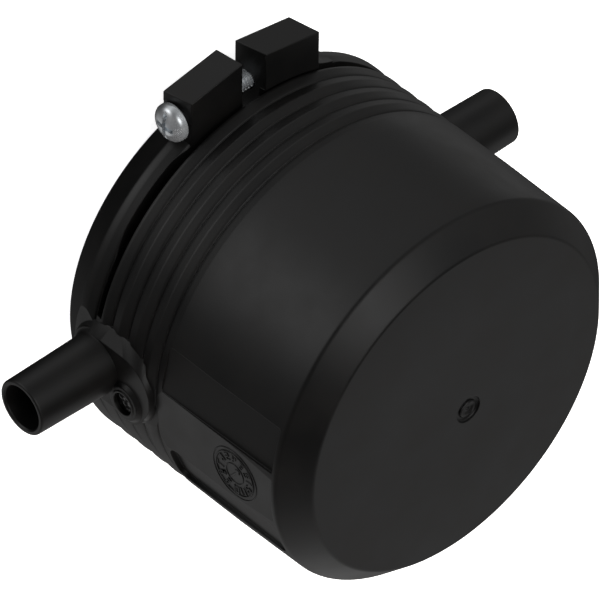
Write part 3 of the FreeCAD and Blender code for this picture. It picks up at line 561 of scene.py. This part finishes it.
# Outline round two circles (y, z, radius) with as many points on each
def pairOutline(first, second, count=20):
    (y1, z1, r1), (y2, z2, r2) = first, second
    across = Vector((y2 - y1, z2 - z1))
    lean = math.asin((r1 - r2) / across.length)
    heading = math.atan2(across.y, across.x)
    points = []
    for y, z, r, begin, sweep in ((y2, z2, r2, heading - math.pi / 2 + lean, math.pi - 2 * lean),
                                  (y1, z1, r1, heading + math.pi / 2 - lean, math.pi + 2 * lean)):
        for k in range(count + 1):
            turn = begin + sweep * k / count
            points.append(Vector((y + r * math.cos(turn), z + r * math.sin(turn))))
    return points


# Pad that shroud and collar stand on; padEdge gives the shares of width and height of its rim
def makePad(sign):
    t = terminal
    base, top = pairOutline(*t["padBase"]), pairOutline(*t["padTop"])
    rows = [(base, t["foot"]), (base, t["padFoot"])]
    for share, lift in t["padEdge"]:
        outline = [low.lerp(high, share) for low, high in zip(base, top)]
        rows.append((outline, t["padFoot"] + (t["pad"] - t["padFoot"]) * lift))
    bm = bmesh.new()
    skinRings(bm, [[sidePlace(sign, height) @ Vector((p.x * mm, p.y * mm, 0)) for p in outline]
                   for outline, height in rows])
    return objectFrom(bm, "pad")


# Collar of the indicator hole, with a thin lip round the hole
def makeCollar(sign):
    t = terminal
    top = t["collarTop"]
    lip = top + t["lipHeight"]
    under = t["collarFoot"] + 0.5
    base = t["pad"] - 0.02
    outline = roundedCorners([
        (0, t["foot"], 0), (under, t["foot"], 0), (under, base, 0), (t["collarFoot"], base, 0.3),
        (t["collar"], top, 0.35), (t["eye"] + t["lipOut"] + 0.15, top, 0.1), (t["eye"] + t["lipOut"], lip, 0.08),
        (t["eye"] + 0.1, lip, 0), (0, lip, 0)])
    return turnedObject("collar", outline, (sign, 0, 0), (0, t["eyeY"], t["eyeZ"]), steps=72)


def makeShroud(sign):
    t = terminal
    wide = t["rootRadius"] + t["fillet"]
    outline = roundedCorners([
        (0, t["foot"], 0), (wide, t["foot"], 0), (wide, t["flare"], 0), (t["rootRadius"], t["flare"], t["fillet"]),
        (t["tipRadius"], t["tip"], t["tipRound"]), (0, t["tip"], 0)])
    return turnedObject("shroud", outline, (sign, 0, 0), (0, 0, t["height"]), steps=96)


def makeBoreCutter(sign):
    t = terminal
    mouth = t["bore"] + t["mouthEase"]
    outline = roundedCorners([
        (0, t["pinRoot"], 0), (t["pin"], t["pinRoot"], 0), (t["pin"], t["floor"], 0.1),
        (t["bore"], t["floor"], t["floorRound"]), (t["bore"], t["tip"] - 0.3, 0.3), (mouth, t["tip"] + 0.05, 0),
        (mouth, t["tip"] + 1, 0), (0, t["tip"] + 1, 0)])
    return turnedObject("boreCutter", outline, (sign, 0, 0), (0, 0, t["height"]), steps=96)


def makeEyeCutter(sign):
    t = terminal
    top, mouth = t["collarTop"], t["eye"] + t["eyeEase"]
    outline = roundedCorners([
        (0, t["eyeFloor"], 0), (t["eye"], t["eyeFloor"], 0), (t["eye"], top + 0.1, 0.1), (mouth, top + 0.3, 0),
        (mouth, top + 1, 0), (0, top + 1, 0)])
    return turnedObject("eyeCutter", outline, (sign, 0, 0), (0, t["eyeY"], t["eyeZ"]), steps=64)


# Raised dial of the marking facet: plain numbers between rings (radius, width, rise) and a
# pointer (length, width, its head's size, the head's place and its turn)
dial = {"u": -0.3, "v": 50.8, "rings": ((6.15, 0.3, 0.14), (5.35, 0.42, 0.2), (2.5, 0.25, 0.14)), "sunk": 0.1,
        "numbers": 12, "numberAt": 3.95, "numberTall": 1.45, "numberWide": 0.75, "numberGap": 0.42,
        "stroke": 0.26, "rise": 0.26, "pointer": (3.6, 0.4, 1.0, 1.3, 38)}
# strokes of a digit as (x, y, upright or not), in half widths and half heights, and those each digit lacks
strokes = {"top": (0, 1, 0), "middle": (0, 0, 0), "bottom": (0, -1, 0), "upperLeft": (-1, 0.5, 1),
           "upperRight": (1, 0.5, 1), "lowerLeft": (-1, -0.5, 1), "lowerRight": (1, -0.5, 1)}
unlit = {"0": ("middle",), "1": ("top", "middle", "bottom", "upperLeft", "lowerLeft"),
         "2": ("upperLeft", "lowerRight"), "3": ("upperLeft", "lowerLeft"), "4": ("top", "bottom", "lowerLeft"),
         "5": ("upperRight", "lowerLeft"), "6": ("upperRight",),
         "7": ("middle", "bottom", "upperLeft", "lowerLeft"), "8": (), "9": ("lowerLeft",)}


# Bar on the dial's face with its middle at (x, y)
def addBar(bm, place, x, y, length, width):
    rise = dial["rise"]
    spot = Matrix.Translation(Vector((x, y, rise / 2)) * mm)
    bmesh.ops.create_cube(bm, size=1, matrix=place @ spot @ Matrix.Diagonal((length * mm, width * mm, rise * mm, 1)))


def addNumber(bm, place, number):
    d = dial
    text = str(number)
    for i, digit in enumerate(text):
        shift = (i - (len(text) - 1) / 2) * (d["numberWide"] + d["numberGap"])
        for name, (x, y, upright) in strokes.items():
            if name in unlit[digit]:
                continue
            reach = d["stroke"] + (d["numberTall"] / 2 if upright else d["numberWide"])
            size = (d["stroke"], reach) if upright else (reach, d["stroke"])
            addBar(bm, place, shift + x * d["numberWide"] / 2, y * d["numberTall"] / 2, *size)


def makeDial(sign):
    d = dial
    shift = Matrix.Translation(Vector((d["u"], d["v"], 0)) * mm)
    place = sidePlace(sign, marks["facet"] - d["sunk"], marks["facetTurn"]) @ shift
    bm = bmesh.new()
    for radius, width, rise in d["rings"]:
        high = rise + d["sunk"]
        outline = roundedCorners([(radius - width, -0.3, 0), (radius - width * 0.8, high, 0.06),
                                  (radius - width * 0.2, high, 0.06), (radius, -0.3, 0)])
        ring = bmesh.new()
        spinOutline(ring, outline, (0, 0, 1), steps=60)
        ring.transform(place)
        appendMesh(bm, ring)
    for k in range(d["numbers"]):
        spot = Matrix.Rotation(-math.tau * k / d["numbers"], 4, "Z") @ Matrix.Translation((0, d["numberAt"] * mm, 0))
        addNumber(bm, place @ spot, k + 1)
    length, width, head, along, heading = d["pointer"]
    turn = place @ Matrix.Rotation(math.radians(heading), 4, "Z")
    addBar(bm, turn, 0, 0, length, width)
    addBar(bm, turn @ Matrix.Translation((along * mm, 0, 0)) @ Matrix.Rotation(math.radians(45), 4, "Z"),
           0, 0, head, head)
    if sign < 0:
        bmesh.ops.recalc_face_normals(bm, faces=bm.faces[:])
    return objectFrom(bm, "dial")


# Gate mark near the middle of the closed face: a dish, and in it the stub that tore off,
# uneven on top; stubRows gives its rows as shares of its radius and its rise
gate = {"x": 3.0, "y": -3.1, "dish": 3.0, "dishRound": 0.35, "depth": 0.6, "stub": 1.9, "rise": 0.55, "around": 28,
        "stubRows": ((1.0, -0.3), (1.0, 0.62), (0.86, 0.95), (0.62, 0.86), (0.44, 0.5), (0.28, 0.44), (0.12, 0.75))}


def makeGateCutter():
    g = gate
    top = shell["length"]
    floor = top - g["depth"]
    outline = [Vector((0, floor)), Vector((g["dish"] - g["dishRound"], floor)), Vector((g["dish"] - 0.1, floor + 0.2)),
               Vector((g["dish"], top + 0.02)), Vector((g["dish"], top + 1)), Vector((0, top + 1))]
    return turnedObject("gateCutter", outline, (0, 0, 1), (g["x"], g["y"], 0), steps=64)


def makeGateStub():
    g = gate
    floor = shell["length"] - g["depth"]
    rings = []
    for share, high in g["stubRows"]:
        ring = []
        for k in range(g["around"]):
            turn = math.tau * k / g["around"]
            uneven = 1 + 0.09 * math.sin(2 * turn + 0.6) + 0.05 * math.sin(5 * turn)
            torn = 0 if high < 0.6 else 0.13 * math.sin(3 * turn + 4 * share) + 0.12 * math.cos(2 * turn + 1.1)
            out = g["stub"] * share * uneven
            ring.append(Vector((g["x"] + out * math.cos(turn), g["y"] + out * math.sin(turn),
                                floor + min(g["depth"], g["rise"] * (high + torn)))) * mm)
        rings.append(ring)
    bm = bmesh.new()
    skinRings(bm, rings)
    return objectFrom(bm, "gateStub")


# Clamp screw along X: y and z give its line, and seat, end and holeEnd are places along it.
# The lug leaves room round the head and is clear beyond it; threadFrom is the plain neck
screw = {"y": 43.2, "z": 7.6, "radius": 2.0, "seat": -18.2, "end": 11.8, "hole": 2.25, "holeEnd": 17, "room": 0.4,
         "head": 4.0, "height": 2.9, "rim": 0.9, "rimRound": 0.25, "domeSteps": 8, "domePower": 0.8, "clear": 5,
         "pitch": 0.7, "depth": 0.38, "threadFrom": 0.4, "threadSteps": 28, "tip": 0.5,
         "slot": 1.0, "slotDepth": 0.8, "cross": 2.3, "crossDepth": 1.5}
screwLine = {"axis": (1, 0, 0), "centre": (0, screw["y"], screw["z"])}
# Clamp nut in its pocket: pocket is the radius to the corners, face and corner are the radii
# of the chamfer outside, and mouth and hole those inside
nut = {"from": 9.55, "height": 3.2, "flats": 7.0, "pocket": 4.19, "pocketDepth": 6,
       "face": 3.35, "corner": 4.2, "chamfer": 0.45, "outside": 6, "mouth": 2.4, "hole": 2.05, "holeChamfer": 0.35}
# Channels for the coil's leads, from each terminal pin through the wall and along the bore
leads = {"inner": 29.8, "outer": 35.0, "low": 12.67, "high": 13.53, "width": 0.86,
         "leftTop": 18.4, "rightWall": 33.73}


def hexagonObject(name, radius, depth):
    turns = [math.radians(a) for a in range(30, 390, 60)]
    place = Matrix(((0, 0, 1, nut["from"] * mm), (1, 0, 0, screw["y"] * mm), (0, 1, 0, screw["z"] * mm), (0, 0, 0, 1)))
    return pushedObject(name, [Vector((radius * math.cos(a), radius * math.sin(a))) for a in turns], place, depth)


# Room in the lugs for the clamp screw and its nut
def makeScrewCutters():
    w = screw
    wide, start = w["head"] + w["room"], w["seat"] - w["clear"]
    outline = [Vector(p) for p in ((0, start), (wide, start), (wide, w["seat"]), (w["hole"], w["seat"]),
                                   (w["hole"], w["holeEnd"]), (0, w["holeEnd"]))]
    return [turnedObject("screwCutter", outline, **screwLine, steps=64),
            hexagonObject("nutCutter", nut["pocket"], nut["pocketDepth"])]


def makeLeadCutters():
    n = leads
    made = []
    for sign, wall, top in ((-1, shell["recess"], n["leftTop"]), (1, n["rightWall"], shell["recessTo"])):
        corners = ((n["inner"], n["low"]), (n["outer"], n["low"]), (n["outer"], n["high"]), (wall, n["high"]),
                   (wall, top), (n["inner"], top))
        place = Matrix(((sign, 0, 0, 0), (0, 0, 1, -n["width"] / 2 * mm), (0, 1, 0, 0), (0, 0, 0, 1)))
        made.append(pushedObject("leadCutter", [Vector(c) for c in corners], place, n["width"]))
    return made


moulding = makeShell()
print("shell turned")
combine(moulding, [makeLug("A"), makeLug("B"), makeSwell()], "UNION")
combine(moulding, [makeSlotCutter(), makeSplitCutter()], "DIFFERENCE")
print("clamp band cut")
for sign in (-1, 1):
    combine(moulding, makeFlatCutters(sign), "DIFFERENCE")
    combine(moulding, [makePad(sign), makeCollar(sign), makeShroud(sign)], "UNION")
    combine(moulding, [makeDial(sign)], "UNION", crossing=True)
    combine(moulding, [makeBoreCutter(sign), makeEyeCutter(sign)], "DIFFERENCE")
combine(moulding, [makeGateCutter()], "DIFFERENCE")
combine(moulding, [makeGateStub()], "UNION")
combine(moulding, makeScrewCutters() + makeLeadCutters(), "DIFFERENCE")
shadeByForm(moulding, 26, flatArea=14)
dress(moulding, polyethylene, "body_plastic", "cap_body")
print("moulding done", len(moulding.data.polygons), "faces")


# Domed head, cross recess in a slot, rolled thread
def makeScrew():
    w = screw
    top = w["seat"] - w["height"]
    outline = []
    for k in range(w["domeSteps"] + 1):
        turn = math.radians(90 * k / w["domeSteps"])
        outline.append(Vector((w["head"] * math.sin(turn) ** w["domePower"],
                               top + (w["height"] - w["rim"]) * (1 - math.cos(turn)))))
    outline += roundedCorners([(w["head"], w["seat"] - 0.6, 0), (w["head"], w["seat"], w["rimRound"]),
                               (w["radius"] - 0.1, w["seat"], 0.0)])[1:]
    outline += [Vector((w["radius"] - 0.3, w["seat"] + 1)), Vector((0, w["seat"] + 1))]
    thing = turnedObject("clamp_screw_zinc", outline, **screwLine, steps=72)
    cutters = []
    for wide, tall, deep in ((w["head"] + 1, w["slot"], w["slotDepth"]), (w["cross"], w["slot"], w["crossDepth"]),
                             (w["slot"] / 2, w["cross"] * 2, w["crossDepth"])):
        bm = bmesh.new()
        spot = Matrix.Translation(Vector((top - 1, w["y"], w["z"])) * mm)
        reach = 2 * (deep + 1)
        bmesh.ops.create_cube(bm, size=1, matrix=spot @ Matrix.Diagonal((reach * mm, 2 * wide * mm, tall * mm, 1)))
        cutters.append(objectFrom(bm, "driveCutter"))
    combine(thing, cutters, "DIFFERENCE")
    # one pitch of thread, spun along the shank
    core = w["radius"] - w["depth"]
    begin = w["seat"] + w["threadFrom"]
    turns = int((w["end"] - begin) / w["pitch"]) - 1
    steps = w["threadSteps"]
    rows = ((core, 0.0), (core, 0.1), (w["radius"], 0.3), (w["radius"], 0.42), (core, 0.62), (core, w["pitch"]))
    thread = bmesh.new()
    verts = [thread.verts.new(Vector((begin + a, w["y"], w["z"] + r)) * mm) for r, a in rows]
    edges = [thread.edges.new(pair) for pair in zip(verts, verts[1:])]
    bmesh.ops.spin(thread, geom=verts + edges, cent=Vector((0, w["y"], w["z"])) * mm, axis=(1, 0, 0),
                   dvec=Vector((w["pitch"] / steps * mm, 0, 0)), angle=math.tau * turns, steps=steps * turns)
    bmesh.ops.remove_doubles(thread, verts=thread.verts[:], dist=4e-6)
    bmesh.ops.recalc_face_normals(thread, faces=thread.faces[:])
    shank = bmesh.new()
    outline = [Vector((0, begin - 0.3)), Vector((core, begin - 0.3)), Vector((core, w["end"] - w["tip"])),
               Vector((core - w["tip"], w["end"])), Vector((0, w["end"]))]
    spinOutline(shank, outline, **screwLine, steps=48, closed=False)
    whole = bmesh.new()
    whole.from_mesh(thing.data)
    appendMesh(whole, thread)
    appendMesh(whole, shank)
    whole.to_mesh(thing.data)
    whole.free()
    shadeByForm(thing, 32)
    return thing


# Hexagon, cut by a ring that chamfers its corners and by the hole
def makeNut():
    n = nut
    thing = hexagonObject("clamp_nut_zinc", n["flats"] / 2 / math.cos(math.radians(30)), n["height"])
    a, b = n["from"], n["from"] + n["height"]
    ring = [Vector(p) for p in ((n["face"], a - 1), (n["face"], a), (n["corner"], a + n["chamfer"]),
                                (n["corner"], b - n["chamfer"]), (n["face"], b), (n["face"], b + 1),
                                (n["outside"], b + 1), (n["outside"], a - 1))]
    hole = [Vector(p) for p in ((0, a - 1), (n["mouth"], a - 1), (n["mouth"], a), (n["hole"], a + n["holeChamfer"]),
                                (n["hole"], b - n["holeChamfer"]), (n["mouth"], b), (n["mouth"], b + 1), (0, b + 1))]
    combine(thing, [turnedObject("ringCutter", ring, **screwLine, steps=72, closed=True),
                    turnedObject("holeCutter", hole, **screwLine, steps=48)], "DIFFERENCE")
    shadeByForm(thing, 24)
    return thing


dress(makeScrew(), zincSteel, "zinc_steel", "clamp_screw")
dress(makeNut(), zincSteel, "zinc_steel", "clamp_nut")
print("screw and nut done")


# Metal and plug nodes keep their CAD shape and take their finish
finishes = {"heating_coil": copperWire, "terminal_pin_left": tinnedBrass, "terminal_pin_right": tinnedBrass,
            "indicator_pin_left": indicatorPlastic, "indicator_pin_right": indicatorPlastic}
for name, finish in finishes.items():
    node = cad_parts[name]
    for part in node.material_slots:
        part.material = finish
    if not node.material_slots:
        node.data.materials.append(finish)


# Half the side of the square floor, in metres
floorHalf = 3.0


# Floor: the camera sees it and the cap's shadow on it, and it stays out of the reflections
def makeFloor():
    bm = bmesh.new()
    bmesh.ops.create_grid(bm, x_segments=8, y_segments=8, size=floorHalf)
    floor = objectFrom(bm, "paper_sweep")
    floor.data.materials.append(makePaperFloor())
    floor.visible_glossy = False
    floor.visible_diffuse = False
    floor.visible_transmission = False
    floor.visible_shadow = False


# Studio round the cap as its gloss shows it: soft patches of light by direction, each with
# its tightness and its brightness; the camera sees plain white instead
studio = {
    "overShoulder": ((-0.22, 0.56, 0.80), 20, 1.94),
    "behindLeft": ((-0.61, 0.58, -0.53), 20, 1.58),
    "behind": ((-0.06, 0.84, -0.53), 14, 0.57),
    "behindRight": ((0.50, 0.68, -0.53), 14, 0.38),
    "table": ((0.19, -0.97, -0.13), 20, 0.50),
    "tableNear": ((-0.40, -0.75, -0.53), 14, 0.48),
    "tableMiddle": ((-0.10, -0.90, 0.40), 10, 0.37),
    "tableFar": ((0.50, -0.68, 0.53), 16, 0.35),
    "rightEdge": ((0.84, -0.05, -0.53), 20, 0.33),
    "rightWall": ((0.96, -0.28, 0.05), 14, 0.18),
    "ceilingRight": ((0.75, 0.48, 0.45), 6, 0.27),
    "ceiling": ((0.20, 0.80, 0.50), 6, 0.16),
    "leftWall": ((-0.90, 0.10, -0.40), 8, 0.13),
}
# light from every direction, below the patches
studioDim = 0.004


def makeWorld():
    world = bpy.data.worlds.new("studio")
    bpy.context.scene.world = world
    world.use_nodes = True
    tree = world.node_tree
    tree.nodes.clear()
    output = addNode(tree, "ShaderNodeOutputWorld")
    way = addNode(tree, "ShaderNodeTexCoord").outputs["Generated"]
    total = None
    for heading, tight, bright in studio.values():
        aim = addNode(tree, "ShaderNodeVectorMath", {"operation": "DOT_PRODUCT"}, {0: way})
        aim.inputs[1].default_value = Vector(heading).normalized()
        fall = addNode(tree, "ShaderNodeMath", {"operation": "MULTIPLY_ADD", 1: tight, 2: -tight},
                       {0: aim.outputs["Value"]})
        patch = addNode(tree, "ShaderNodeMath", {"operation": "EXPONENT"}, {0: fall.outputs["Value"]})
        add = addNode(tree, "ShaderNodeMath", {"operation": "MULTIPLY_ADD", 1: bright, 2: studioDim},
                      {0: patch.outputs["Value"]})
        if total:
            tree.links.new(total.outputs["Value"], add.inputs[2])
        total = add
    path = addNode(tree, "ShaderNodeLightPath")
    seen = addNode(tree, "ShaderNodeBackground", {"Strength": 1.0})
    lit = addNode(tree, "ShaderNodeBackground", None, {"Strength": total.outputs["Value"]})
    seen.inputs["Color"].default_value = (1, 1, 1, 1)
    lit.inputs["Color"].default_value = (1, 1, 1, 1)
    mix = addNode(tree, "ShaderNodeMixShader", None,
                  {0: path.outputs["Is Camera Ray"], 1: lit.outputs["Background"], 2: seen.outputs["Background"]})
    tree.links.new(mix.outputs["Shader"], output.inputs["Surface"])


# Soft boxes for plain diffuse light: place, width and height in metres, power in watts, colour
lamps = {
    "overhead": ((0.3, 0.9, 1.0), (0.9, 0.9), 16, "#ffffff"),
    "faceSide": ((-0.5, -0.3, 1.2), (0.7, 0.7), 10, "#fff8f2"),
    "lowBounce": ((-0.75, -0.75, 0.25), (0.9, 0.5), 12, "#fbf6f8"),
}
lampAim = (0, 0, 0.035)


def makeLamp(name, spot, size, power, tint):
    light = bpy.data.lights.new(name, "AREA")
    light.shape = "RECTANGLE"
    light.size, light.size_y = size
    light.energy = power
    light.color = hexColour(tint)[:3]
    lamp = bpy.data.objects.new(name, light)
    aim = Vector(lampAim) - Vector(spot)
    lamp.matrix_world = Matrix.Translation(spot) @ aim.to_track_quat("-Z", "Y").to_matrix().to_4x4()
    lamp.visible_glossy = False
    bpy.context.scene.collection.objects.link(lamp)


# Camera 2 m off, rolled: right, up and back are its own axes, and offset is its place along them
shot = {"right": (0.7369, 0.0114, 0.6759), "up": (0.4554, 0.7306, -0.5088), "back": (-0.4996, 0.6828, 0.5332),
        "offset": (0.0158237, -0.0144686, 2.0), "lens": 622.42, "sensor": 36.0, "clipEnd": 20}


def makeCamera():
    right, up, back = (Vector(shot[k]) for k in ("right", "up", "back"))
    back.normalize()
    right = (right - back * right.dot(back)).normalized()
    up = back.cross(right)
    spot = right * shot["offset"][0] + up * shot["offset"][1] + back * shot["offset"][2]
    camera = bpy.data.cameras.new("productCamera")
    camera.sensor_width = shot["sensor"]
    camera.lens = shot["lens"]
    camera.clip_end = shot["clipEnd"]
    view = bpy.data.objects.new("productCamera", camera)
    turn = Matrix((right, up, back)).transposed().to_4x4()
    view.matrix_world = Matrix.Translation(spot) @ turn
    bpy.context.scene.collection.objects.link(view)
    bpy.context.scene.camera = view


makeFloor()
makeWorld()
for name, settings in lamps.items():
    makeLamp(name, *settings)
makeCamera()
bpy.context.scene.view_settings.view_transform = "Standard"
print("stage set")
